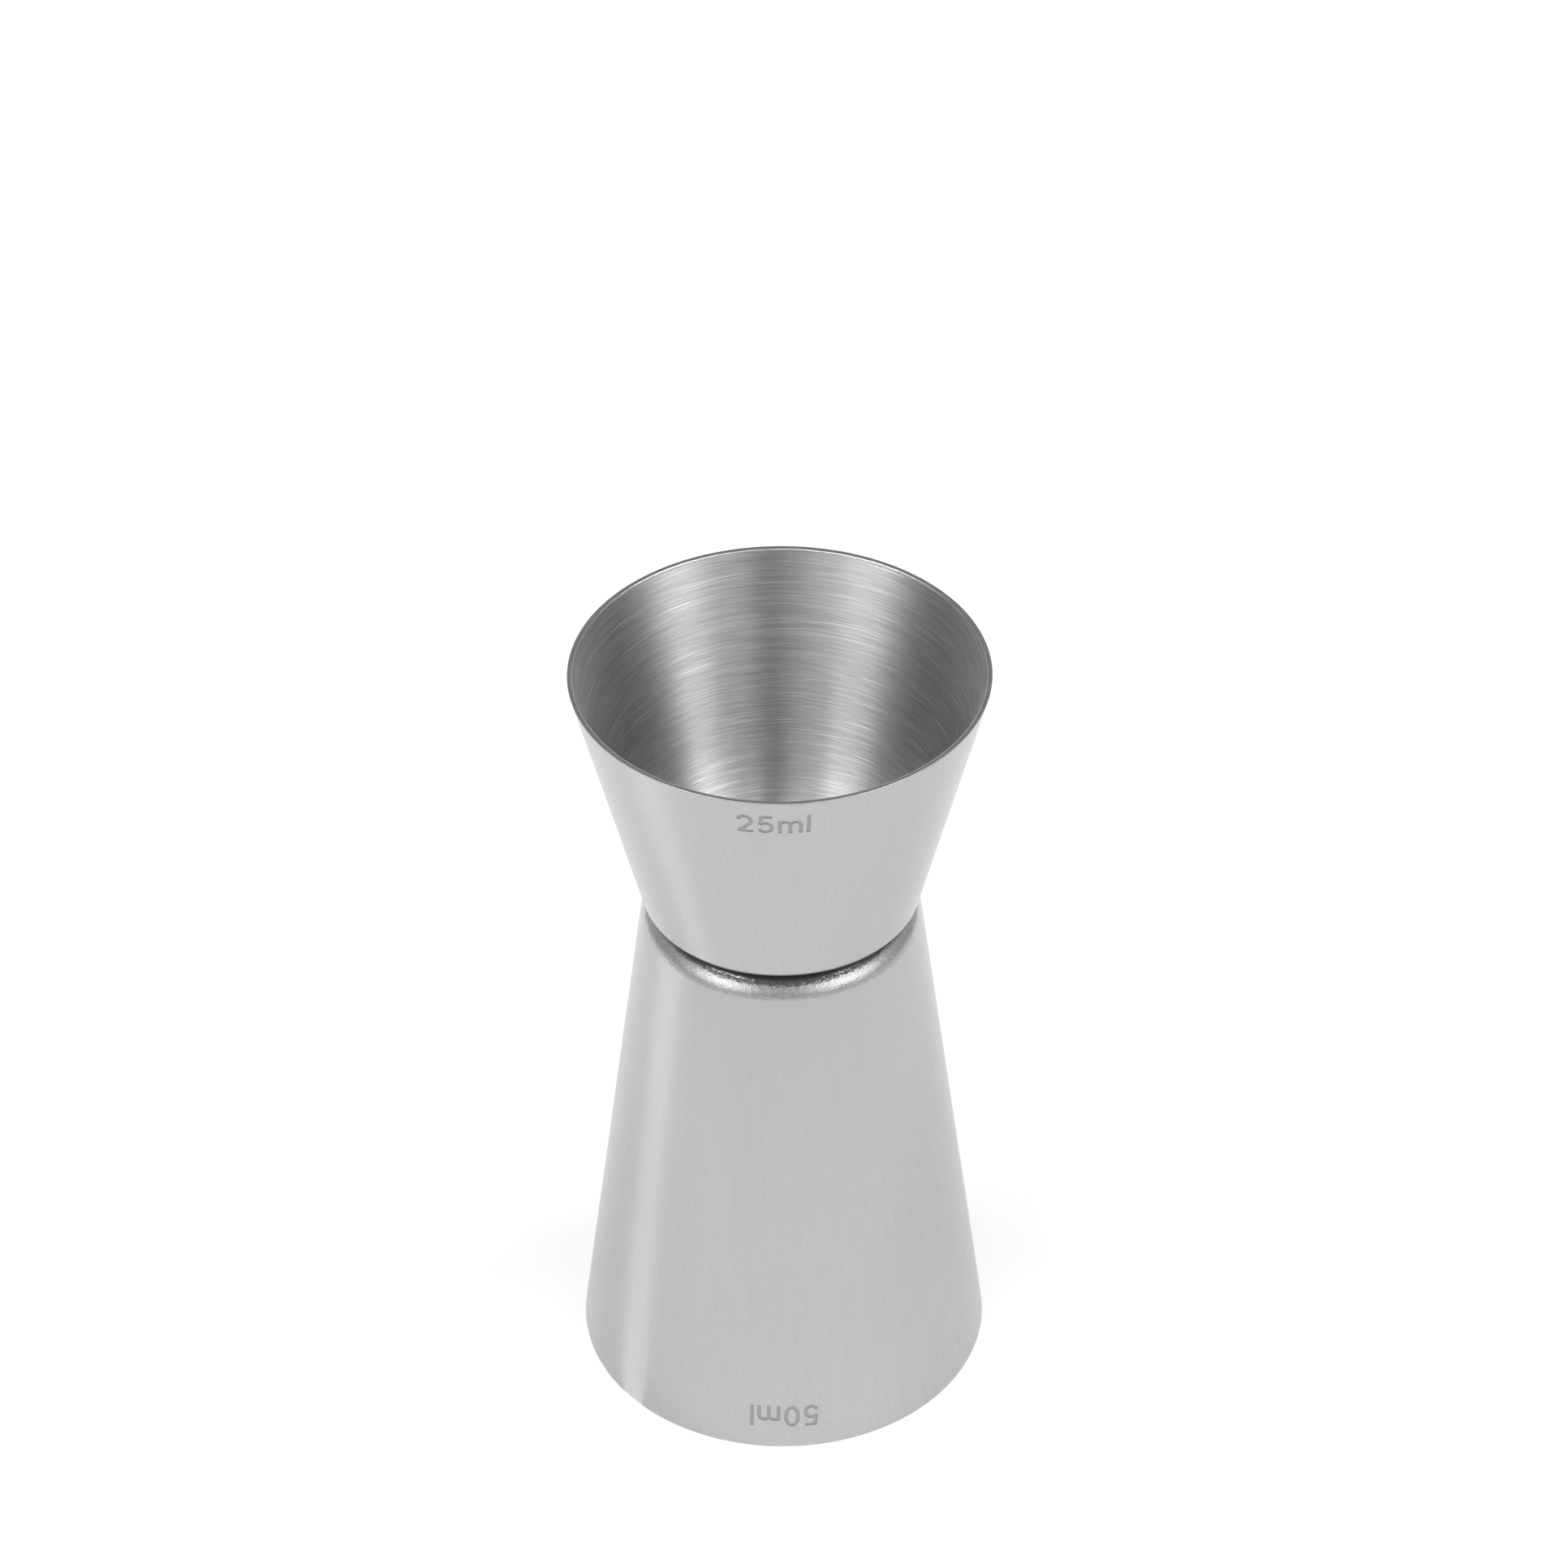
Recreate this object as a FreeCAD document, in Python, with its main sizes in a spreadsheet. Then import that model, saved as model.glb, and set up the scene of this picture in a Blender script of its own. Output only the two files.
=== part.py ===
import FreeCAD, Part

import math
import os

import Sketcher
from FreeCAD import Placement, Rotation, Vector

# Two-ended bar jigger, millimetres, +Z up.  The origin is the centre of the larger
# cup's rim, in the plane that the jigger stands on.  Two drawn steel cups meet base to
# base: the larger opens downwards, the smaller opens upwards, and spot welds in the
# plane where the bases touch hold them together.

# alias: (value, what it is)
DIMENSIONS = {
    "sheet_thickness": (0.6, "wall and base of both cups"),
    "overall_height": (86.35, "rim to rim"),
    "contact_height": (58.4, "plane in which the two bases touch"),
    "base_radius": (14.06, "both cups' outer wall at the contact plane, corner left sharp"),
    "small_rim_radius": (21.05, "smaller cup's outer wall at its rim, corner left sharp"),
    "large_rim_radius": (21.45, "larger cup's outer wall at its rim, corner left sharp"),
    "small_bend_radius": (1.0, "outside of the smaller cup's bend from base to wall"),
    "large_bend_radius": (3.0, "outside of the larger cup's bend from base to wall"),
    "rim_outer_radius": (0.1, "rounding of the outer edge of a rim"),
    "rim_inner_radius": (0.3, "rounding of the inner edge of a rim"),
    "weld_count": (3, "spot welds, evenly spaced"),
    "weld_pitch_radius": (5.0, "from the jigger's axis to the middle of a weld"),
    "nugget_radius": (1.5, "fused spot, in the contact plane"),
    "nugget_depth": (0.35, "how far a fused spot reaches into each sheet"),
}

SHEET = "Dimensions"         # the spreadsheet's name, as expressions call it
PLANE_TOLERANCE = 1e-4       # mm, for finding the edges and faces that lie in a plane
VOLUME_TOLERANCE = 0.01      # mm3, between the recesses and the nuggets that fill them


def make_sheet(doc):
    """The spreadsheet that drives every size."""
    sheet = doc.addObject("Spreadsheet::Sheet", SHEET)
    for row, (alias, (value, meaning)) in enumerate(DIMENSIONS.items(), start=1):
        sheet.set(f"A{row}", alias)
        sheet.set(f"B{row}", str(value))
        sheet.set(f"C{row}", meaning)
        sheet.setAlias(f"B{row}", alias)
    doc.recompute()


def cell(alias):
    """A sheet cell, as an expression names it."""
    return f"{SHEET}.{alias}"


def value_of(doc, expression):
    """What an expression on the sheet is worth now."""
    return float(doc.getObject(SHEET).evalExpression(expression))


# --- sketches -------------------------------------------------------------------------

def origin_feature(body, role):
    """One of a body's own planes or axes."""
    return next(item for item in body.Origin.OriginFeatures if item.Role == role)


def section_sketch(body, name):
    """An empty sketch on the body's XZ plane: its X is a radius and its Y a height."""
    sketch = body.newObject("Sketcher::SketchObject", name)
    sketch.AttachmentSupport = [(origin_feature(body, "XZ_Plane"), "")]
    sketch.MapMode = "FlatFace"
    return sketch


def constrain(sketch, kind, *places):
    sketch.addConstraint(Sketcher.Constraint(kind, *places))


def drive(sketch, kind, places, name, expression):
    """A dimension whose value follows the sheet."""
    value = value_of(sketch.Document, expression)
    index = sketch.addConstraint(Sketcher.Constraint(kind, *places, value))
    sketch.renameConstraint(index, name)
    sketch.setExpression(f"Constraints.{name}", expression)


# Ends of a sketch line or arc, an arc's centre, and the sketch's own origin.
START, END, CENTRE = 1, 2, 3
ORIGIN = (-1, START)
X_AXIS = -1


def draw_frustum_section(sketch, depth, base_radius, rim_radius):
    """Half of a frustum: base at height 0, sloping wall, open end, axis."""
    high = value_of(sketch.Document, depth)
    narrow = value_of(sketch.Document, base_radius)
    wide = value_of(sketch.Document, rim_radius)
    corners = [Vector(0, 0), Vector(narrow, 0), Vector(wide, high), Vector(0, high)]
    for corner, following in zip(corners, corners[1:] + corners[:1]):
        sketch.addGeometry(Part.LineSegment(corner, following))
    base, wall, mouth, axis = range(4)
    for side, following in ((base, wall), (wall, mouth), (mouth, axis), (axis, base)):
        constrain(sketch, "Coincident", side, END, following, START)
    constrain(sketch, "Coincident", base, START, *ORIGIN)
    constrain(sketch, "Horizontal", base)
    constrain(sketch, "Horizontal", mouth)
    constrain(sketch, "Vertical", axis)
    drive(sketch, "DistanceX", (base, START, base, END), "base_radius", base_radius)
    drive(sketch, "DistanceX", (mouth, END, mouth, START), "rim_radius", rim_radius)
    drive(sketch, "DistanceY", (axis, END, axis, START), "depth", depth)


def draw_nugget_section(sketch):
    """Half of a nugget's section, above the contact plane at height 0.

    The dome is one arc about a centre on the nugget's axis, so the fused spot is a cap
    of a sphere.  The construction line is the axis that it is turned about.
    """
    away, radius, depth = (
        value_of(sketch.Document, cell(alias))
        for alias in ("weld_pitch_radius", "nugget_radius", "nugget_depth"))
    dome_radius = (radius ** 2 + depth ** 2) / (2 * depth)
    sphere = Part.Circle(
        Vector(away, depth - dome_radius, 0), Vector(0, 0, 1), dome_radius)
    edge_angle = math.atan2(dome_radius - depth, radius)
    middle, edge, top = Vector(away, 0), Vector(away + radius, 0), Vector(away, depth)
    sketch.addGeometry(Part.LineSegment(middle, edge))
    sketch.addGeometry(Part.ArcOfCircle(sphere, edge_angle, math.pi / 2))
    sketch.addGeometry(Part.LineSegment(top, middle))
    sketch.addGeometry(Part.LineSegment(top, middle), True)
    flat, dome, side, axis = range(4)
    constrain(sketch, "Coincident", flat, END, dome, START)
    constrain(sketch, "Coincident", dome, END, side, START)
    constrain(sketch, "Coincident", side, END, flat, START)
    constrain(sketch, "Coincident", axis, START, side, START)
    constrain(sketch, "Coincident", axis, END, side, END)
    constrain(sketch, "PointOnObject", flat, START, X_AXIS)
    constrain(sketch, "PointOnObject", dome, CENTRE, side)
    constrain(sketch, "Horizontal", flat)
    constrain(sketch, "Vertical", side)
    drive(sketch, "DistanceX", (*ORIGIN, flat, START), "pitch_radius",
          cell("weld_pitch_radius"))
    drive(sketch, "DistanceX", (flat, START, flat, END), "nugget_radius",
          cell("nugget_radius"))
    drive(sketch, "DistanceY", (side, END, side, START), "nugget_depth",
          cell("nugget_depth"))


# --- finding edges and faces ----------------------------------------------------------

def circles_at(shape, height):
    """Names of the whole circles that lie in the plane at this height, smallest first."""
    found = [
        (edge.Curve.Radius, f"Edge{i}") for i, edge in enumerate(shape.Edges, start=1)
        if isinstance(edge.Curve, Part.Circle) and edge.isClosed()
        and abs(edge.Curve.Center.z - height) < PLANE_TOLERANCE]
    return [name for radius, name in sorted(found)]


def flat_face_at(shape, height):
    """Name of the flat face that lies in the plane at this height."""
    return next(
        f"Face{i}" for i, face in enumerate(shape.Faces, start=1)
        if isinstance(face.Surface, Part.Plane)
        and abs(face.CenterOfMass.z - height) < PLANE_TOLERANCE)


# --- sub-parts ------------------------------------------------------------------------

def turn(body, kind, name, sketch, axis):
    """A whole turn of a sketch about one of its own lines, as a solid or as a cut."""
    feature = body.newObject(kind, name)
    feature.Profile = sketch
    feature.ReferenceAxis = (sketch, [axis])
    feature.Angle = 360
    body.Document.recompute()
    return feature


def set_at_welds(body, pattern):
    """Make a polar pattern put one copy at each weld."""
    pattern.Axis = (origin_feature(body, "Z_Axis"), [""])
    pattern.Angle = 360
    pattern.setExpression("Occurrences", cell("weld_count"))


def make_cup(doc, label, depth, rim_radius, bend_radius):
    """A drawn cup in its own frame: closed end at height 0, open end upwards.

    depth, rim_radius and bend_radius are expressions on the sheet.
    """
    body = doc.addObject("PartDesign::Body", label)
    body.Label = label

    outline = section_sketch(body, f"{label}_outline")
    draw_frustum_section(outline, depth, cell("base_radius"), rim_radius)
    frustum = turn(body, "PartDesign::Revolution", f"{label}_frustum", outline, "V_Axis")

    # Drawing leaves a bend between the base and the wall.
    bend = body.newObject("PartDesign::Fillet", f"{label}_bend")
    bend.Base = (frustum, circles_at(frustum.Shape, 0))
    bend.setExpression("Radius", bend_radius)
    doc.recompute()

    # Hollow down to the sheet, open at the rim, so that the bend has an inside too.
    rim_height = value_of(doc, depth)
    hollow = body.newObject("PartDesign::Thickness", f"{label}_hollow")
    hollow.Base = (bend, [flat_face_at(bend.Shape, rim_height)])
    hollow.setExpression("Value", cell("sheet_thickness"))
    hollow.Reversed = True
    hollow.Join = "Intersection"
    doc.recompute()

    # The rim's inner edge is rounded further than its outer one, with a flat land
    # between them.
    rim_inside = body.newObject("PartDesign::Fillet", f"{label}_rim_inside")
    rim_inside.Base = (hollow, circles_at(hollow.Shape, rim_height)[:1])
    rim_inside.setExpression("Radius", cell("rim_inner_radius"))
    doc.recompute()
    rim = body.newObject("PartDesign::Fillet", f"{label}_rim")
    rim.Base = (rim_inside, circles_at(rim_inside.Shape, rim_height)[-1:])
    rim.setExpression("Radius", cell("rim_outer_radius"))
    doc.recompute()

    # Where a weld has fused the sheet, the cup ends at the nugget.
    section = section_sketch(body, f"{label}_weld_section")
    draw_nugget_section(section)
    recess = turn(body, "PartDesign::Groove", f"{label}_weld_recess", section, "Axis0")
    recesses = body.newObject("PartDesign::PolarPattern", f"{label}_weld_recesses")
    recesses.Originals = [recess]
    set_at_welds(body, recesses)
    body.Tip = recesses
    doc.recompute()

    body.setExpression("Placement.Base.z", cell("contact_height"))
    return body


def make_nuggets(doc, label):
    """The fused spots, each a lens with one half in each cup's base."""
    body = doc.addObject("PartDesign::Body", label)
    body.Label = label
    body.AllowCompound = True

    section = section_sketch(body, f"{label}_section")
    draw_nugget_section(section)
    upper_half = turn(body, "PartDesign::Revolution", f"{label}_upper_half", section,
                      "Axis0")

    lenses = body.newObject("PartDesign::MultiTransform", f"{label}_lenses")
    mirrored = doc.addObject("PartDesign::Mirrored", f"{label}_lower_half")
    mirrored.MirrorPlane = (origin_feature(body, "XY_Plane"), [""])
    around = doc.addObject("PartDesign::PolarPattern", f"{label}_around")
    set_at_welds(body, around)
    lenses.Originals = [upper_half]
    lenses.Transformations = [mirrored, around]
    body.Tip = lenses
    doc.recompute()

    body.setExpression("Placement.Base.z", cell("contact_height"))
    return body


# --- checks and files -----------------------------------------------------------------

def check(doc, parts):
    """Stop unless every object is sound and the welds fill their recesses."""
    for item in doc.Objects:
        bad = {"Invalid", "Error"}.intersection(item.State)
        if bad:
            raise RuntimeError(f"{item.Name} is {', '.join(bad)}")
    for part in parts:
        if part.Shape.isNull() or not part.Shape.isValid():
            raise RuntimeError(f"{part.Label} has no valid shape")
    *cups, nuggets = parts
    recessed = sum(
        doc.getObject(f"{cup.Label}_rim").Shape.Volume - cup.Shape.Volume for cup in cups)
    if abs(recessed - nuggets.Shape.Volume) > VOLUME_TOLERANCE:
        raise RuntimeError("the nuggets and their recesses differ in volume")


def write(parts):
    os.makedirs("parts", exist_ok=True)
    for part in parts:
        part.Shape.exportStep(f"parts/{part.Label}.step")
        print(f"{part.Label}: {part.Shape.Volume:.1f} mm3, {len(part.Shape.Solids)} solid")


def main():
    doc = FreeCAD.newDocument("jigger")
    make_sheet(doc)
    small_cup = make_cup(
        doc, "cup_25ml", f"{cell('overall_height')} - {cell('contact_height')}",
        cell("small_rim_radius"), cell("small_bend_radius"))
    large_cup = make_cup(
        doc, "cup_50ml", cell("contact_height"),
        cell("large_rim_radius"), cell("large_bend_radius"))
    nuggets = make_nuggets(doc, "spot_weld_nuggets")

    # The larger cup hangs mouth down from the plane that the smaller one stands on.
    upside_down = Rotation(Vector(1, 0, 0), 180)
    large_cup.Placement = Placement(large_cup.Placement.Base, upside_down)
    doc.recompute()

    parts = [small_cup, large_cup, nuggets]
    check(doc, parts)
    write(parts)


main()
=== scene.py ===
import functools
import math

import bpy
from mathutils import Matrix, Vector, noise
from mathutils.geometry import delaunay_2d_cdt


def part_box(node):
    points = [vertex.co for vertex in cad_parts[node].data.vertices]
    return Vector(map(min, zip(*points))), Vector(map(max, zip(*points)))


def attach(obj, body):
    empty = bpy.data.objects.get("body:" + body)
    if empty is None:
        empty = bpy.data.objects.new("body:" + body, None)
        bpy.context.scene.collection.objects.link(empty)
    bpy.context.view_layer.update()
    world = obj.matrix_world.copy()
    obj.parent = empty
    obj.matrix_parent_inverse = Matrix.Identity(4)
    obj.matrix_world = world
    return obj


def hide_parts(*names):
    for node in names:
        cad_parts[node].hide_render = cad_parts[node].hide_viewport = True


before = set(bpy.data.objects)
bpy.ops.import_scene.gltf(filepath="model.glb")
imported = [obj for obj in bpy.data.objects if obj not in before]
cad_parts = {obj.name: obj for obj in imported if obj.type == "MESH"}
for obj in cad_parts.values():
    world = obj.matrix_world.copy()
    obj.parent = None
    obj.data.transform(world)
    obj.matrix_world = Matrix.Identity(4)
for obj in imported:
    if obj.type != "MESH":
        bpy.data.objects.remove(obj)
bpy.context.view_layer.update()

# Shapes are worked out in millimetres and written to meshes in metres.
MM = 0.001

# Sizes of the design that its packed boxes don't show.
SHEET = 0.6
BASE_RADIUS = 14.06          # both outer walls, carried on to the plane where the bases meet
SMALL_BEND = 1.0             # outside radius of the bend from base to wall
LARGE_BEND = 3.0
RIM_OUTSIDE = 0.1            # rounding of a rim's outer edge
RIM_INSIDE = 0.3             # rounding of a rim's inner edge
WELD_COUNT = 3
WELD_PITCH_RADIUS = 5.0
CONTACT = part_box("cup_50ml")[1].z / MM    # height of the plane where the bases meet

# How finely surfaces are divided.
COLUMNS = 360                # faces round the axis
WALL_STEP = 1.4              # between rows along a wall
FLOOR_STEP = 0.35            # between rings across a floor
RIM_STEPS = 7                # faces across each rounded edge of a rim
SEAM = 0.08                  # the narrow row where one surface's relief meets the next
SLOPE_STEP = 0.05            # apart, for the two heights that give a surface's slope
PATCH_STEPS = 12             # rows of points in a mark's patch
PATCH_CLEAR = 0.12           # between those points and the figures

FULL_TURN = 2 * math.pi
QUARTER_TURN = math.pi / 2


# --- half sections --------------------------------------------------------------------

class Row:
    """One ring of a turned surface: where it is, its outward normal and its zone."""

    def __init__(self, radius, height, normal, zone):
        self.radius, self.height, self.normal, self.zone = radius, height, normal, zone


class CupSection:
    """Half of a cup's section: radius from the axis, height from the outside of the
    closed end towards the mouth."""

    def __init__(self, depth, rim_reach, bend):
        self.depth, self.bend = depth, bend
        # The rim's rounding takes its outer corner in, so the wall aims further out.
        lean = math.atan2(rim_reach - BASE_RADIUS, depth)
        corner = rim_reach + RIM_OUTSIDE * (1 / math.tan((QUARTER_TURN - lean) / 2) - 1)
        self.lean = math.atan2(corner - BASE_RADIUS, depth)

    def wall_radius(self, height, inwards=0.0):
        """Radius of the outer wall, or of a line parallel to it some way inside it."""
        return BASE_RADIUS + math.tan(self.lean) * height - inwards / math.cos(self.lean)

    def arc(self, centre, radius, start, end, steps, zone, facing=1):
        """Rows along an arc, by angles from outwards, upwards; facing -1 is hollow."""
        rows = []
        for step in range(steps + 1):
            angle = start + (end - start) * step / steps
            out, along = math.cos(angle), math.sin(angle)
            rows.append(Row(centre[0] + radius * out, centre[1] + radius * along,
                            (facing * out, facing * along), zone))
        return rows

    def wall(self, low, high, inwards, normal, zone, stops=()):
        """Rows between two heights, ends left out, with one at each stop."""
        marks = sorted({low, low + SEAM, high - SEAM, high, *stops})
        rows = []
        for start, end in zip(marks, marks[1:]):
            steps = max(1, round((end - start) / WALL_STEP))
            heights = [start + (end - start) * step / steps for step in range(steps)]
            rows += [Row(self.wall_radius(h, inwards), h, normal, zone) for h in heights]
        return rows[1:]

    def disc(self, radius, height, normal, steps, zone):
        """Rows from the middle of a flat face towards its edge."""
        return [Row(radius * step / steps, height, normal, zone) for step in range(steps)]

    def rows(self, stops):
        """The outline from the middle of the base, round the rim, to the middle of the
        floor inside."""
        lean, bend, inner_bend = self.lean, self.bend, self.bend - SHEET
        wall_normal = (math.cos(lean), -math.sin(lean))
        inner_normal = (-math.cos(lean), math.sin(lean))
        bend_centre = (self.wall_radius(bend, bend), bend)
        outer_top, inner_top = self.depth - RIM_OUTSIDE, self.depth - RIM_INSIDE
        outer_edge = (self.wall_radius(outer_top, RIM_OUTSIDE), outer_top)
        inner_edge = (self.wall_radius(inner_top, SHEET - RIM_INSIDE), inner_top)
        rings = round(bend_centre[0] / FLOOR_STEP)

        rows = self.disc(bend_centre[0], 0, (0, -1), 8, "base")
        rows += self.arc(bend_centre, bend, -QUARTER_TURN, -lean, round(8 + 8 * bend), "bend")
        rows += self.wall(bend - bend * math.sin(lean),
                          outer_top - RIM_OUTSIDE * math.sin(lean), 0, wall_normal, "wall", stops)
        rows += self.arc(outer_edge, RIM_OUTSIDE, -lean, QUARTER_TURN, RIM_STEPS, "rim")
        rows += self.arc(inner_edge, RIM_INSIDE, QUARTER_TURN, math.pi - lean, RIM_STEPS, "rim")
        inside = self.wall(bend - inner_bend * math.sin(lean),
                           inner_top + RIM_INSIDE * math.sin(lean),
                           SHEET, inner_normal, "inside")
        rows += reversed(inside)
        rows += self.arc(bend_centre, inner_bend, -lean, -QUARTER_TURN,
                         round(6 + 6 * inner_bend), "inside", facing=-1)
        rows += reversed(self.disc(bend_centre[0], SHEET, (0, 1), rings, "floor"))
        return rows


# --- surface relief -------------------------------------------------------------------
# Each gives how far the metal stands proud of the design, in millimetres.  None is ever
# above nought, so that the piece stays within the design's box.

def drawn_skin(point):
    """The pebbled skin that drawing leaves on a bend."""
    coarse = noise.noise(point * 1.15)
    fine = noise.noise(point * 2.9 + Vector((7, 3, 5)))
    return 0.010 * (coarse - 1) + 0.0035 * (fine - 1)


def spun_wall(point):
    """A wall is round and straight to within a few hundredths of a millimetre."""
    return 0.010 * (noise.noise(Vector((point.x * 0.1, point.y * 0.1, point.z * 0.045))) - 1)


def ground_rim(point):
    coarse, fine = noise.noise(point * 1.7), noise.noise(point * 5.0)
    return 0.006 * (coarse - 1) + 0.003 * (fine - 1) - 0.006


def weld_dimples(point):
    """The dents that the welding electrodes leave in a floor, each in a raised ring."""
    relief = 0.006 * (noise.noise(point * 0.5) - 1)
    for weld in range(WELD_COUNT):
        turn = FULL_TURN * weld / WELD_COUNT
        middle = Vector((math.cos(turn), math.sin(turn))) * WELD_PITCH_RADIUS
        away = (point.xy - middle).length
        relief += -0.07 / (1 + math.exp((away - 1.45) / 0.1))
        relief += 0.022 * math.exp(-((away - 1.8) / 0.3) ** 2)
    return relief


RELIEF = {
    "bend": drawn_skin,
    "wall": spun_wall,
    "inside": spun_wall,
    "rim": ground_rim,
    "floor": weld_dimples,
}


def shaped(point, normal, zone):
    """A point and its normal with the zone's relief added."""
    relief = RELIEF.get(zone)
    if relief is None:
        return point, normal
    height = relief(point)
    across = normal.orthogonal().normalized()
    slope = Vector()
    for direction in (across, normal.cross(across)):
        slope += direction * (relief(point + direction * SLOPE_STEP) - height) / SLOPE_STEP
    return point + normal * height, (normal - slope).normalized()


# --- capacity marks -------------------------------------------------------------------

# Strokes of the capacity marks, in units of a figure's height, from its lower left.
STROKE = 0.142
HALF = STROKE / 2


def sweep(centre, radii, start, end, steps=18):
    """Points along part of an ellipse, by angles in degrees."""
    points = []
    for step in range(steps + 1):
        angle = math.radians(start + (end - start) * step / steps)
        points.append((centre[0] + radii[0] * math.cos(angle),
                       centre[1] + radii[1] * math.sin(angle)))
    return points


def arch(left):
    """One arch of the letter m and its right leg."""
    return sweep((left + 0.19, 0.44), (0.19, 0.215), 180, 0) + [(left + 0.38, 0.0)]


# sign: (width, open strokes)
SIGNS = {
    "2": (0.62, [sweep((0.31, 0.67), (0.235, 0.26), 168, -38) + [(0.1, HALF)],
                 [(0.03, HALF), (0.6, HALF)]]),
    "5": (0.60, [[(0.55, 1 - HALF), (0.1, 1 - HALF)],
                 [(0.155, 1 - HALF), (0.1, 0.47)],
                 sweep((0.29, 0.325), (0.235, 0.255), 143, -157)]),
    "0": (0.62, [sweep((0.31, 0.5), (0.235, 0.43), -90, 90),
                 sweep((0.31, 0.5), (0.235, 0.43), 90, 270)]),
    "m": (0.90, [[(HALF, 0.0), (HALF, 0.72)], arch(HALF), arch(HALF + 0.38)]),
    "l": (0.14, [[(HALF, 0.0), (HALF, 1.0)]]),
}
SIGN_GAP = 0.14
FIGURE_HEIGHT = 2.7          # the same on both cups


def stroke_outline(points, half_width):
    """The closed outline of a stroke with square ends along a line of points."""
    left, right = [], []
    for i, point in enumerate(points):
        before = Vector(points[max(i - 1, 0)])
        after = Vector(points[min(i + 1, len(points) - 1)])
        along = (after - before).normalized()
        aside = Vector((-along.y, along.x)) * half_width
        left.append(Vector(point) + aside)
        right.append(Vector(point) - aside)
    return right + left[::-1]


class Mark:
    """Figures sunk a little way into a wall: a patch of it is meshed round them."""

    MARGIN = 0.35            # between the figures and the edge of the patch

    def __init__(self, text, below_rim, azimuth, depth):
        self.height, self.below_rim, self.azimuth = FIGURE_HEIGHT, below_rim, azimuth
        self.depth = depth
        self.outlines = []
        widths = [SIGNS[sign][0] for sign in text]
        self.width = (sum(widths) + SIGN_GAP * (len(text) - 1)) * self.height
        left = -self.width / 2
        for width, strokes in (SIGNS[sign] for sign in text):
            for stroke in strokes:
                outline = stroke_outline(stroke, HALF)
                self.outlines.append([Vector((left + p.x * self.height, p.y * self.height))
                                      for p in outline])
            left += (width + SIGN_GAP) * self.height

    def band(self, section):
        """The heights between which the section's wall carries the patch."""
        down_wall = math.cos(section.lean)
        top = section.depth - (self.below_rim - self.MARGIN) * down_wall
        foot = section.depth - (self.below_rim + self.height + self.MARGIN) * down_wall
        return foot, top


# --- meshes ---------------------------------------------------------------------------

ZONES = ("base", "bend", "wall", "rim", "inside", "floor", "mark")


def at(radius, azimuth, height):
    """A point by azimuth from the front, -Y, with a quarter turn at +X."""
    return Vector((radius * math.sin(azimuth), -radius * math.cos(azimuth), height))


class MeshParts:
    """Points and faces as they are gathered, with a normal for each face's corner."""

    def __init__(self):
        self.points, self.faces, self.corner_normals, self.zones = [], [], [], []

    def add_point(self, point):
        self.points.append(point)
        return len(self.points) - 1

    def add_face(self, corners, zone):
        """corners: (point number, normal) pairs, anticlockwise from outside."""
        kept = [corner for i, corner in enumerate(corners) if corner[0] != corners[i - 1][0]]
        self.faces.append([number for number, normal in kept])
        self.corner_normals += [normal for number, normal in kept]
        self.zones.append(ZONES.index(zone))

    def build(self, name, place):
        mesh = bpy.data.meshes.new(name)
        mesh.from_pydata([place @ (point * MM) for point in self.points], [], self.faces)
        mesh.polygons.foreach_set("material_index", self.zones)
        mesh.polygons.foreach_set("use_smooth", [True] * len(self.faces))
        turn = place.to_3x3()
        mesh.normals_split_custom_set([turn @ normal for normal in self.corner_normals])
        made = bpy.data.objects.new(name, mesh)
        bpy.context.scene.collection.objects.link(made)
        return made


def add_ring(parts, row):
    """The points and normals of one ring; a ring on the axis is one point."""
    if row.radius < SLOPE_STEP:
        point, normal = shaped(Vector((0, 0, row.height)), Vector((0, 0, row.normal[1])),
                               row.zone)
        return [(parts.add_point(point), normal)] * COLUMNS
    ring = []
    for column in range(COLUMNS):
        azimuth = FULL_TURN * column / COLUMNS
        point, normal = shaped(at(row.radius, azimuth, row.height),
                               at(row.normal[0], azimuth, row.normal[1]), row.zone)
        ring.append((parts.add_point(point), normal))
    return ring


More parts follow.
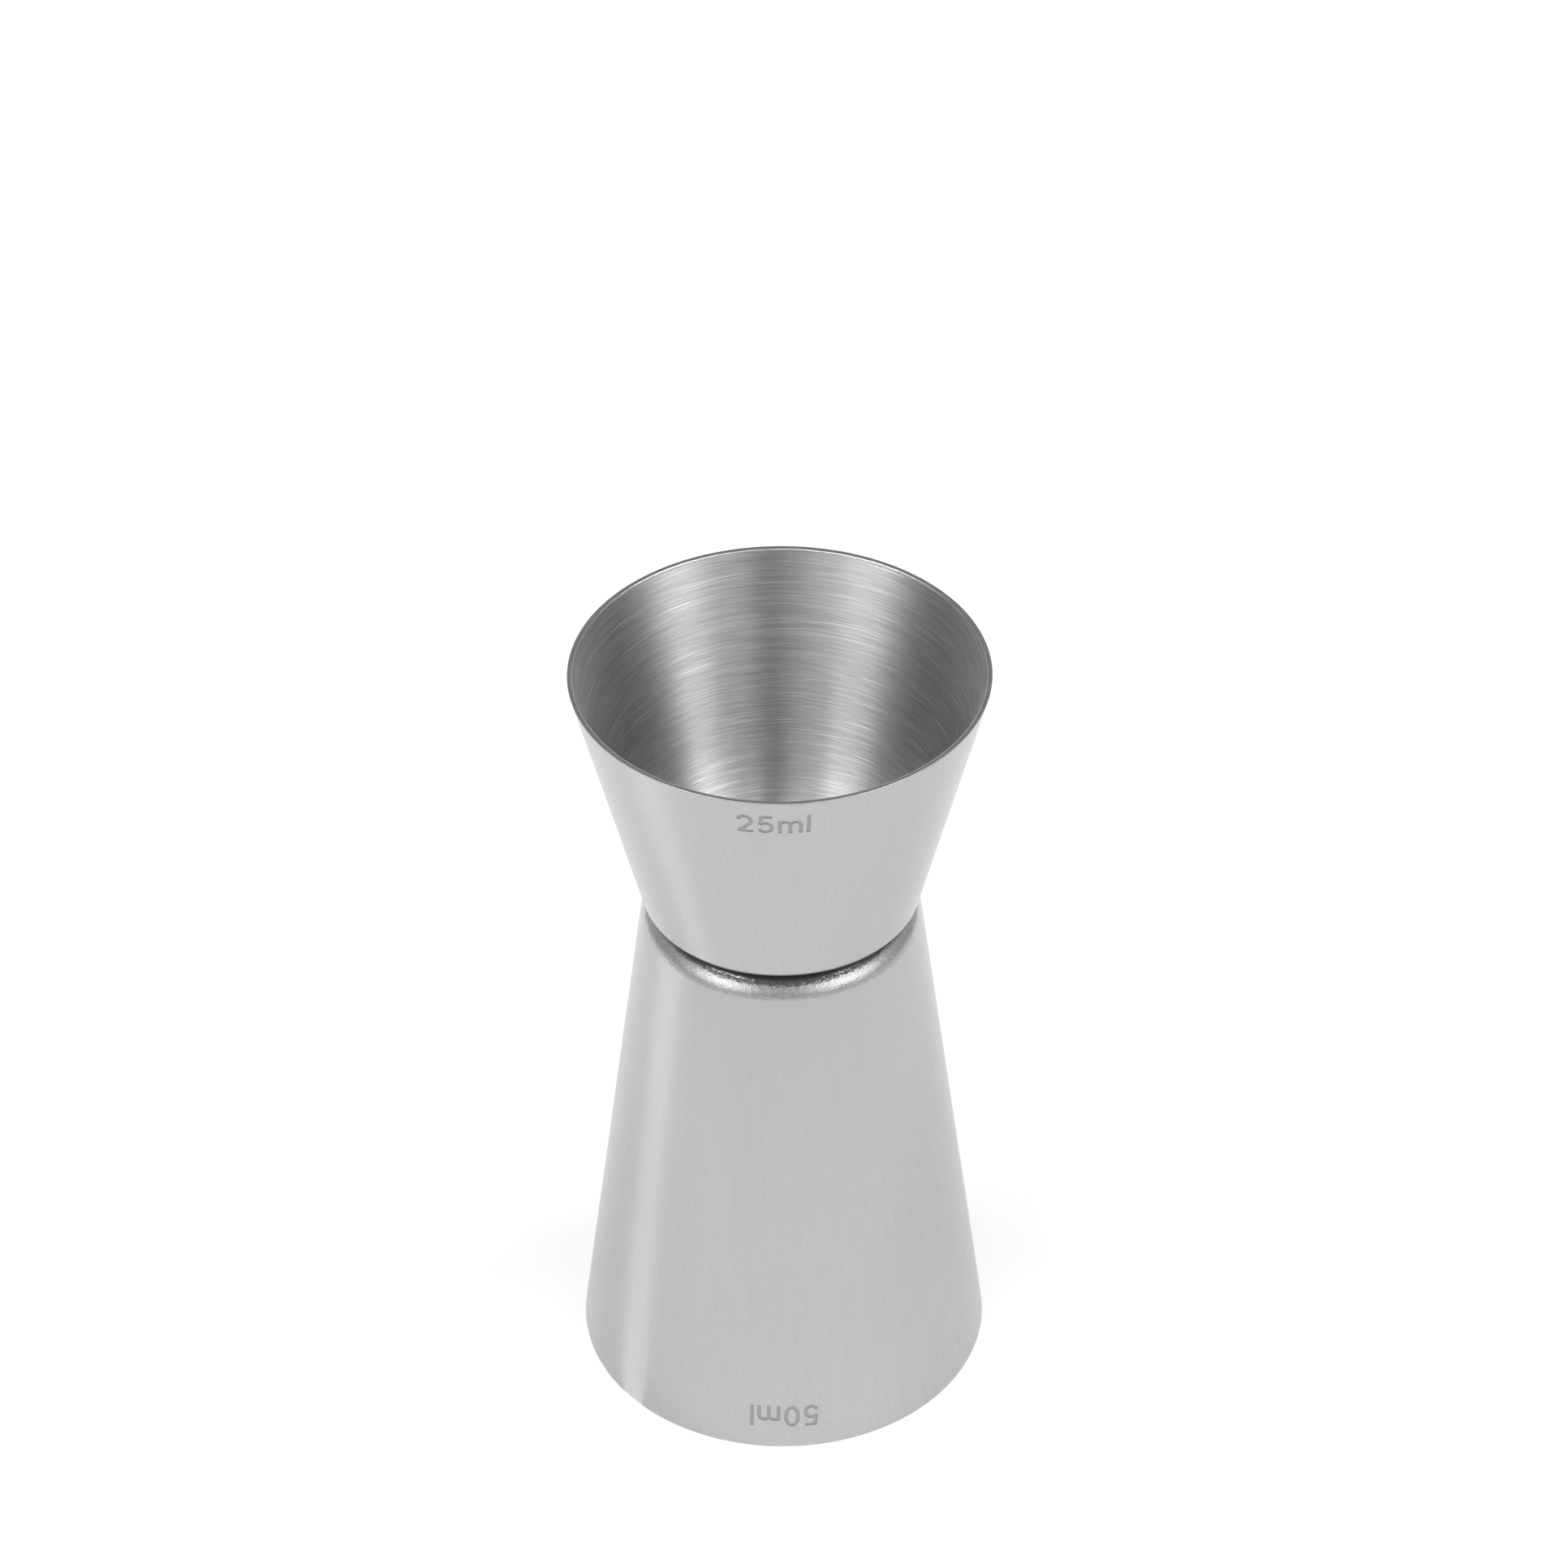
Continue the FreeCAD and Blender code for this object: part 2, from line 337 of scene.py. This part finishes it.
def add_mark(parts, section, mark, rings, heights):
    """Mesh a patch of wall round a mark's figures and give the columns that it takes.
    rings and heights are those of the wall's own rows there."""
    mean_radius = section.wall_radius(sum(heights) / len(heights))
    column_width = mean_radius * FULL_TURN / COLUMNS
    middle = round(mark.azimuth / 360 * COLUMNS)
    reach = math.ceil((mark.width / 2 + mark.MARGIN) / column_width)
    columns = range(middle - reach, middle + reach + 1)
    foot = heights[0]
    along = 1 / math.cos(section.lean)

    def flat(column, height):
        return Vector(((column - middle) * column_width, (height - foot) * along))

    # The patch's border is the wall's own points, so the mesh has no gap there.
    border = []
    for number, (ring, height) in enumerate(zip(rings, heights)):
        whole_row = number in (0, len(rings) - 1)
        for column in columns if whole_row else (columns[0], columns[-1]):
            border.append((flat(column, height), ring[column % COLUMNS]))
    places = [place for place, corner in border]
    outlines = []
    for outline in mark.outlines:
        start = len(places)
        places += [Vector((p.x, p.y + mark.MARGIN)) for p in outline]
        outlines.append(list(range(start, len(places))))
    figure_points = places[len(border):]
    for column in columns[1:-1]:
        for step in range(1, PATCH_STEPS):
            place = flat(column, foot + (heights[-1] - foot) * step / PATCH_STEPS)
            if min((place - p).length for p in figure_points) > PATCH_CLEAR:
                places.append(place)
    found = delaunay_2d_cdt(places, [], outlines, 0, 1e-5)
    flat_points, _, triangles, sources, _, inside = found

    @functools.cache
    def corner(number, sunk):
        """The patch's point of this number, on the wall or sunk, with its normal."""
        source = [s for s in sources[number] if s < len(border)]
        if source:
            return border[source[0]][1]
        place = flat_points[number]
        height = foot + place.y / along
        azimuth = (middle + place.x / column_width) * FULL_TURN / COLUMNS
        normal = at(math.cos(section.lean), azimuth, -math.sin(section.lean))
        point, normal = shaped(at(section.wall_radius(height), azimuth, height), normal, "wall")
        return parts.add_point(point - normal * mark.depth * sunk), normal

    edges = {}
    for triangle, figures_here in zip(triangles, inside):
        sunk = bool(figures_here)
        parts.add_face([corner(number, sunk) for number in triangle],
                       "mark" if sunk else "wall")
        if sunk:
            edges.update(dict.fromkeys(zip(triangle, triangle[1:] + triangle[:1])))
    # Where a figure ends, a narrow face joins its sunk edge to the wall.
    for start, end in edges:
        if (end, start) not in edges:
            side = [corner(start, True)[0], corner(end, True)[0],
                    corner(end, False)[0], corner(start, False)[0]]
            a, b, c = (parts.points[number] for number in side[:3])
            normal = (b - a).cross(c - b).normalized()
            parts.add_face([(number, normal) for number in reversed(side)], "mark")
    return columns


def make_cup(name, section, place, mark):
    """A cup as one closed skin, with its mark cut into the wall."""
    parts = MeshParts()
    low, high = mark.band(section)
    rows = section.rows((low, high))
    rings = [add_ring(parts, row) for row in rows]
    patch = [i for i, row in enumerate(rows)
             if row.zone == "wall" and low - 1e-6 <= row.height <= high + 1e-6]
    marked = add_mark(parts, section, mark, [rings[i] for i in patch],
                      [rows[i].height for i in patch])
    left_out = {(i, column % COLUMNS) for i in patch[:-1] for column in marked[:-1]}
    for i, (lower, upper) in enumerate(zip(rings, rings[1:])):
        for column in range(COLUMNS):
            if (i, column) not in left_out:
                following = (column + 1) % COLUMNS
                parts.add_face([lower[column], lower[following], upper[following],
                                upper[column]], rows[i + 1].zone)
    return parts.build(name, place)


# --- materials ------------------------------------------------------------------------

class Tree:
    """A node tree, put together in short steps.  A value is a number or a socket."""

    def __init__(self, tree):
        self.nodes, self.links = tree.nodes, tree.links

    def join(self, source, target):
        self.links.new(source, target)

    def fill(self, sockets, values):
        for socket, value in zip(sockets, values):
            if isinstance(value, bpy.types.NodeSocket):
                self.join(value, socket)
            else:
                socket.default_value = value

    def maths(self, operation, *values):
        node = self.nodes.new("ShaderNodeMath")
        node.operation = operation
        self.fill(node.inputs, values)
        return node.outputs[0]

    def vector_maths(self, operation, *values):
        """The result, a vector, or a number where the operation gives one."""
        node = self.nodes.new("ShaderNodeVectorMath")
        node.operation = operation
        self.fill(node.inputs, values)
        gives_number = operation in ("LENGTH", "DOT_PRODUCT")
        return node.outputs["Value" if gives_number else "Vector"]

    def spread(self, value, low, high, to_low=0.0, to_high=1.0, smooth=False):
        """Stretch part of a value's range over another, without going past its ends."""
        node = self.nodes.new("ShaderNodeMapRange")
        if smooth:
            node.interpolation_type = "SMOOTHSTEP"
        self.fill(node.inputs, (value, low, high, to_low, to_high))
        return node.outputs[0]

    def vector(self, x, y, z):
        node = self.nodes.new("ShaderNodeCombineXYZ")
        self.fill(node.inputs, (x, y, z))
        return node.outputs[0]

    def axes(self, vector):
        """The X, Y and Z of a vector."""
        node = self.nodes.new("ShaderNodeSeparateXYZ")
        self.join(vector, node.inputs[0])
        return node.outputs


class Recipe(Tree):
    """A metal, as a material."""

    def __init__(self, name, colour, roughness, anisotropic=0.0, turned=0.0):
        self.material = bpy.data.materials.new(name)
        self.material.use_nodes = True
        super().__init__(self.material.node_tree)
        self.shader = self.nodes["Principled BSDF"]
        self.colour, self.roughness = colour, roughness
        self.set("Metallic", 1.0)
        self.set("Base Color", (colour, colour, colour, 1))
        self.set("Roughness", roughness)
        if anisotropic:
            self.set("Anisotropic", anisotropic)
            self.set("Anisotropic Rotation", turned)
            tangent = self.nodes.new("ShaderNodeTangent")
            tangent.direction_type, tangent.axis = "RADIAL", "Z"
            self.join(tangent.outputs[0], self.shader.inputs["Tangent"])

    def set(self, socket, value):
        self.shader.inputs[socket].default_value = value

    def place(self, spacing=1.0):
        """Where a point is, in units of a spacing in millimetres."""
        place = self.nodes.new("ShaderNodeTexCoord")
        scaled = self.nodes.new("ShaderNodeVectorMath")
        scaled.operation = "SCALE"
        scaled.inputs["Scale"].default_value = 1 / (spacing * MM)
        self.join(place.outputs["Object"], scaled.inputs[0])
        return scaled.outputs[0]

    def around(self):
        """Where a point is round the axis, as a unit vector's X and Y, with its radius
        and its height in millimetres."""
        x, y, height = self.axes(self.place())
        square = self.maths("ADD", self.maths("MULTIPLY", x, x), self.maths("MULTIPLY", y, y))
        radius = self.maths("SQRT", square)
        return (self.maths("DIVIDE", x, radius), self.maths("DIVIDE", y, radius),
                radius, height)

    def noise(self, vector, detail=2.0, rough=0.5, distortion=0.0):
        node = self.nodes.new("ShaderNodeTexNoise")
        node.inputs["Scale"].default_value = 1.0
        node.inputs["Detail"].default_value = detail
        node.inputs["Roughness"].default_value = rough
        node.inputs["Distortion"].default_value = distortion
        self.join(vector, node.inputs["Vector"])
        return node.outputs[0]

    def tint(self, *factors):
        """Base colour: the plain colour times each factor."""
        value = self.maths("MULTIPLY", factors[0], self.colour)
        for factor in factors[1:]:
            value = self.maths("MULTIPLY", value, factor)
        node = self.nodes.new("ShaderNodeCombineColor")
        for socket in node.inputs[:3]:
            self.join(value, socket)
        self.join(node.outputs[0], self.shader.inputs["Base Color"])

    def roughen(self, *offsets):
        value = self.maths("ADD", offsets[0], self.roughness)
        for offset in offsets[1:]:
            value = self.maths("ADD", value, offset)
        self.join(value, self.shader.inputs["Roughness"])

    def bump(self, height, depth, strength=1.0):
        """Relief that is too fine for the mesh; depth in millimetres."""
        node = self.nodes.new("ShaderNodeBump")
        node.inputs["Strength"].default_value = strength
        node.inputs["Distance"].default_value = depth * MM
        self.join(height, node.inputs["Height"])
        self.join(node.outputs[0], self.shader.inputs["Normal"])


# Which way a brushed surface spreads its reflections, as a share of a turn from the
# direction round the axis.
SPREAD_ROUND = 0.0
SPREAD_ALONG = 0.25


def lines_along(recipe, x, y, height, spacing, length, radius=18.0):
    """Noise in fine lines that run up and down a wall."""
    round_scale = radius / spacing
    return recipe.noise(recipe.vector(
        recipe.maths("MULTIPLY", x, round_scale), recipe.maths("MULTIPLY", y, round_scale),
        recipe.maths("MULTIPLY", height, 1 / length)))


def lines_round(recipe, x, y, level, spacing, length, detail=2.0, radius=16.0):
    """Noise in fine lines that run round the axis; level is a height or a radius."""
    round_scale = radius / length
    return recipe.noise(recipe.vector(
        recipe.maths("MULTIPLY", x, round_scale), recipe.maths("MULTIPLY", y, round_scale),
        recipe.maths("MULTIPLY", level, 1 / spacing)), detail=detail)


def satin_wall():
    recipe = Recipe("satin_wall", 0.435, 0.27, 0.35, SPREAD_ROUND)
    x, y, radius, height = recipe.around()
    fine = lines_along(recipe, x, y, height, 0.07, 3.5)
    broad = lines_along(recipe, x, y, height, 0.4, 24.0)
    cloud = lines_along(recipe, x, y, height, 6.0, 14.0)
    nick = lines_along(recipe, x, y, height, 0.10, 2.2)
    grain = lines_along(recipe, x, y, height, 0.11, 0.14)
    recipe.tint(recipe.spread(fine, 0.3, 0.7, 0.982, 1.018),
                recipe.spread(grain, 0.3, 0.7, 0.96, 1.04),
                recipe.spread(broad, 0.3, 0.7, 0.99, 1.01),
                recipe.spread(cloud, 0.3, 0.7, 0.985, 1.015),
                recipe.spread(nick, 0.74, 0.80, 1.0, 0.78))
    recipe.roughen(recipe.spread(fine, 0.3, 0.7, -0.015, 0.015),
                   recipe.spread(cloud, 0.3, 0.7, -0.015, 0.015))
    recipe.bump(recipe.maths("ADD", fine, grain), 0.0002)
    return recipe.material


def brushed_inside(name, across_floor):
    recipe = Recipe(name, 0.60, 0.40, 1.0, SPREAD_ALONG)
    x, y, radius, height = recipe.around()
    level = radius if across_floor else height
    fine = lines_round(recipe, x, y, level, 0.065, 6.0, detail=3.0)
    second = lines_round(recipe, x, y, recipe.maths("ADD", level, recipe.maths("MULTIPLY", x, 1.1)),
                         0.16, 3.5, detail=2.0)
    broad = lines_round(recipe, x, y, level, 0.5, 14.0)
    scratch = lines_round(recipe, x, y, recipe.maths("SUBTRACT", level,
                                                     recipe.maths("MULTIPLY", x, 0.7)),
                          0.085, 6.0, detail=0.0)
    recipe.tint(recipe.spread(fine, 0.28, 0.72, 0.79, 1.19),
                recipe.spread(second, 0.3, 0.7, 0.90, 1.09),
                recipe.spread(broad, 0.3, 0.7, 0.97, 1.03),
                recipe.spread(scratch, 0.70, 0.80, 1.0, 1.5),
                # Painted light: the colour is up to a fifth brighter within 9 mm of the joint, so
                # each cup's floor and the foot of its inner wall look more brightly lit.
                recipe.spread(recipe.maths("ABSOLUTE", recipe.maths("SUBTRACT", height, CONTACT)),
                              1.0, 9.0, 1.22, 1.0))
    recipe.roughen(recipe.spread(fine, 0.3, 0.7, -0.05, 0.05))
    recipe.bump(recipe.maths("ADD", fine, scratch), 0.003)
    return recipe.material


def drawn_bend():
    recipe = Recipe("drawn_bend", 0.56, 0.13)
    x, y, radius, height = recipe.around()
    skin = lines_round(recipe, x, y, height, 0.26, 0.40, detail=2.0, radius=14.0)
    grain = lines_round(recipe, x, y, height, 0.12, 0.18, detail=2.0, radius=14.0)
    drop = recipe.maths("ABSOLUTE", recipe.maths("SUBTRACT", height, CONTACT))
    recipe.tint(recipe.spread(grain, 0.3, 0.7, 0.84, 1.14),
                # Painted shade: the bend darkens to under a fifth of its colour within a millimetre
                # of the joint, for the crease between the cups.
                recipe.spread(drop, 0.45, 1.0, 0.18, 1.0),
                # Painted shade: the bend 1.3 to 2.5 mm from the joint is darkened, to dim the
                # floor's reflection in it.
                recipe.spread(drop, 1.3, 2.5, 1.0, 0.70))
    recipe.roughen(recipe.spread(grain, 0.3, 0.7, -0.02, 0.06))
    recipe.bump(recipe.maths("ADD", skin, recipe.maths("MULTIPLY", grain, 0.8)), 0.026)
    return recipe.material


def ground_edge():
    recipe = Recipe("ground_edge", 0.46, 0.34)
    x, y, radius, height = recipe.around()
    fine = lines_round(recipe, x, y, radius, 0.05, 1.2)
    pits = lines_round(recipe, x, y, radius, 0.12, 0.3)
    recipe.tint(recipe.spread(fine, 0.3, 0.7, 0.9, 1.06),
                recipe.spread(pits, 0.66, 0.78, 1.0, 0.75))
    recipe.roughen(recipe.spread(fine, 0.3, 0.7, -0.04, 0.05))
    recipe.bump(fine, 0.002)
    return recipe.material


def etched_mark():
    recipe = Recipe("etched_mark", 0.33, 0.46)
    grain = recipe.noise(recipe.place(1 / 9), detail=3.0)
    recipe.tint(recipe.spread(grain, 0.3, 0.7, 0.85, 1.12))
    recipe.roughen(recipe.spread(grain, 0.3, 0.7, -0.05, 0.08))
    recipe.bump(grain, 0.004)
    return recipe.material


def weld_metal():
    recipe = Recipe("weld_metal", 0.50, 0.5)
    grain = recipe.noise(recipe.place(1 / 3), detail=4.0)
    recipe.tint(recipe.spread(grain, 0.3, 0.7, 0.75, 1.1))
    recipe.roughen(recipe.spread(grain, 0.3, 0.7, -0.1, 0.1))
    recipe.bump(grain, 0.01)
    return recipe.material


wall = satin_wall()
MATERIALS = {
    "base": wall,
    "bend": drawn_bend(),
    "wall": wall,
    "rim": ground_edge(),
    "inside": brushed_inside("brushed_inside", False),
    "floor": brushed_inside("brushed_floor", True),
    "mark": etched_mark(),
}

# --- the two cups ---------------------------------------------------------------------

small_reach, large_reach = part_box("cup_25ml")[1] / MM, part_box("cup_50ml")[1] / MM
upright = Matrix.Translation((0, 0, CONTACT * MM))
upside_down = upright @ Matrix.Rotation(math.pi, 4, "Y")

CUPS = (
    ("cup_25ml", CupSection(small_reach.z - CONTACT, small_reach.x, SMALL_BEND), upright,
     Mark("25ml", below_rim=1.9, azimuth=-2, depth=0.03)),
    ("cup_50ml", CupSection(CONTACT, large_reach.x, LARGE_BEND), upside_down,
     Mark("50ml", below_rim=2.7, azimuth=0, depth=0.03)),
)
for node, section, place, mark in CUPS:
    cup = make_cup(f"{node}_drawn_steel", section, place, mark)
    for zone in ZONES:
        cup.data.materials.append(MATERIALS[zone])
    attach(cup, "root")
    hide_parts(node)

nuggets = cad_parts["spot_weld_nuggets"]
nuggets.material_slots[0].material = weld_metal()

# --- camera ---------------------------------------------------------------------------

scene = bpy.context.scene
camera = bpy.data.objects.new("camera", bpy.data.cameras.new("camera"))
scene.collection.objects.link(camera)
scene.camera = camera
camera.data.sensor_width = 36
camera.data.lens = 128.32
right = Vector((0.99997801, -0.00460627, -0.0047702))
up = Vector((0.00660048, 0.62226838, 0.78277615))
forward = Vector((0.000637, 0.782790, -0.622285))
orient = Matrix((right, up, -forward)).transposed().to_4x4()
camera.matrix_world = Matrix.Translation((0, -0.438556, 0.420725)) @ orient

# --- floor and light ------------------------------------------------------------------

FLOOR_HALF = 1.5
PAPER = 0.75                 # how much light the paper gives back
# The paper glows in an oval patch, which fades out between these shares of its reach.
PATCH_GLOW = 0.42
PATCH_MIDDLE, PATCH_WIDTH, PATCH_LENGTH = 0.12, 0.17, 0.28
PATCH_FADE = (0.85, 1.35)
# A wedge of the patch to the left glows more, and shows as a pale band on the walls.
WEDGE_APEX = (-0.012, -0.015, 0)
WEDGE_AZIMUTH, WEDGE_HALF, WEDGE_EDGE, WEDGE_GAIN = -99, 12, 2, 0.9


def towards(azimuth):
    """The level direction at an azimuth in degrees."""
    return at(1, math.radians(azimuth), 0)


def paper_with_painted_glow():
    """White paper that glows in a patch round the object: painted light, with no lamp under it."""
    paper = bpy.data.materials.new("floor_white")
    paper.use_nodes = True
    tree = Tree(paper.node_tree)
    shader = tree.nodes["Principled BSDF"]
    shader.inputs["Base Color"].default_value = (PAPER, PAPER, PAPER, 1)
    shader.inputs["Roughness"].default_value = 0.9
    shader.inputs["Emission Color"].default_value = (1, 1, 1, 1)
    place = tree.nodes.new("ShaderNodeTexCoord").outputs["Object"]
    patch = tree.nodes.new("ShaderNodeMapping")
    patch.vector_type = "TEXTURE"
    patch.inputs["Location"].default_value = (0, PATCH_MIDDLE, 0)
    patch.inputs["Scale"].default_value = (PATCH_WIDTH, PATCH_LENGTH, 1)
    tree.join(place, patch.inputs["Vector"])
    away = tree.vector_maths("LENGTH", patch.outputs[0])
    fade = tree.spread(away, *PATCH_FADE, PATCH_GLOW, 0.0, smooth=True)
    heading = tree.vector_maths("NORMALIZE", tree.vector_maths("SUBTRACT", place, WEDGE_APEX))
    facing = tree.vector_maths("DOT_PRODUCT", heading, towards(WEDGE_AZIMUTH))
    outer, inner = (math.cos(math.radians(WEDGE_HALF + side * WEDGE_EDGE)) for side in (1, -1))
    wedge = tree.spread(facing, outer, inner, 1.0, 1 + WEDGE_GAIN, smooth=True)
    tree.join(tree.maths("MULTIPLY", fade, wedge), shader.inputs["Emission Strength"])
    return paper


floor_mesh = bpy.data.meshes.new("floor")
floor_mesh.from_pydata(
    [(x * FLOOR_HALF, y * FLOOR_HALF, 0) for x, y in ((-1, -1), (1, -1), (1, 1), (-1, 1))],
    [], [(0, 1, 2, 3)])
floor = bpy.data.objects.new("floor", floor_mesh)
scene.collection.objects.link(floor)
floor_mesh.materials.append(paper_with_painted_glow())

# The walls of the tent stop at this height, as seen from the object, in degrees; over them
# the room is dark.
TENT_TOP = 31
TENT_EDGE = 2
# part of the tent: (azimuth of its middle, how narrow it is, radiance)
TENT = {
    "all_round": (0, 0, 0.30),
    "lit_left": (-46, 12, 1.5),
    "lit_right": (50, 9, 1.5),
    "lit_front": (0, 10, 0.15),
    "lit_back": (180, 3, 0.5),
}
ROOM = 0.14                  # radiance of the ceiling, and added to the walls


def studio_world():
    """A tent of pale walls round the object, lit unevenly, under a dark ceiling."""
    world = bpy.data.worlds.new("studio")
    world.use_nodes = True
    tree = Tree(world.node_tree)
    x, y, rise = tree.axes(tree.nodes.new("ShaderNodeTexCoord").outputs["Generated"])
    heading = tree.vector_maths("NORMALIZE", tree.vector(x, y, 0.0))
    strength = 0.0
    for azimuth, narrow, radiance in TENT.values():
        facing = tree.vector_maths("DOT_PRODUCT", heading, towards(azimuth))
        share = tree.maths("POWER", tree.maths("MAXIMUM", facing, 0.0), narrow)
        strength = tree.maths("ADD", tree.maths("MULTIPLY", share, radiance), strength)
    low, high = (math.sin(math.radians(TENT_TOP + side * TENT_EDGE)) for side in (-1, 1))
    walls = tree.spread(rise, low, high, 1.0, 0.0, smooth=True)
    strength = tree.maths("ADD", tree.maths("MULTIPLY", strength, walls), ROOM)
    tree.join(strength, tree.nodes["Background"].inputs["Strength"])
    tree.nodes["Background"].inputs["Color"].default_value = (1, 1, 1, 1)
    return world


scene.world = studio_world()
scene.view_settings.view_transform = "Standard"


LAMP_TARGET = 0.045          # height that the lamps face


def softbox(name, azimuth, elevation, distance, width, height, radiance):
    """An area light that faces the middle of the object."""
    target = Vector((0, 0, LAMP_TARGET))
    turn, rise = math.radians(azimuth), math.radians(elevation)
    away = at(math.cos(rise), turn, math.sin(rise))
    light = bpy.data.lights.new(name, "AREA")
    light.shape, light.size, light.size_y = "RECTANGLE", width, height
    light.energy = radiance * math.pi * width * height
    lamp = bpy.data.objects.new(name, light)
    scene.collection.objects.link(lamp)
    lamp.location = target + away * distance
    lamp.rotation_mode = "QUATERNION"
    lamp.rotation_quaternion = away.to_track_quat("Z", "Y")


# name: (azimuth, elevation, distance, width, height, radiance)
LAMPS = {
    "softbox_left": (-62, 57, 0.8, 0.26, 0.13, 11.0),
    "softbox_left_back": (-96, 63, 0.8, 0.20, 0.14, 10.0),
    "softbox_right": (72, 57, 0.8, 0.34, 0.13, 6.0),
    "softbox_right_back": (96, 63, 0.8, 0.20, 0.14, 15.0),
    "overhead_left": (-35, 66, 0.8, 0.12, 0.16, 9.5),
    "overhead_middle": (-12, 66, 0.8, 0.12, 0.16, 5.0),
    "overhead_right": (35, 66, 0.8, 0.12, 0.16, 8.0),
}
for lamp_name, setting in LAMPS.items():
    softbox(lamp_name, *setting)
